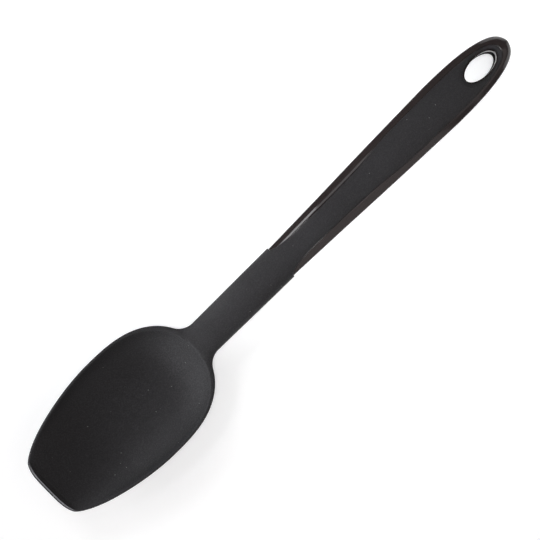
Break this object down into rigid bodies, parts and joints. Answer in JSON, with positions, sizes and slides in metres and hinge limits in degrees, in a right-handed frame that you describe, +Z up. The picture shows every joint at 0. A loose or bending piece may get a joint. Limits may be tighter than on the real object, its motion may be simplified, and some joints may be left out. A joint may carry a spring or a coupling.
{
  "type": "serving spoon",
  "caption": "Serving spoon with a straight-tipped silicone bowl, a rounded neck and a glossy handle with a soft face and an oval hang hole.",
  "frame": {"origin": "on the table that the spoon lies on, under the middle of its box", "axes": "+X from the bowl's tip to the handle's end, +Z up out of the bowl's mouth, +Y across"},
  "size_m": [0.29, 0.056, 0.0278],
  "materials": {
    "silicone": "matt moulded",
    "handle_plastic": "polished",
    "core_steel": "pressed sheet"
  },
  "bodies": {
    "root": {"silicone_skin": "silicone", "handle_shell": "handle_plastic", "steel_core": "core_steel"}
  },
  "joints": []
}
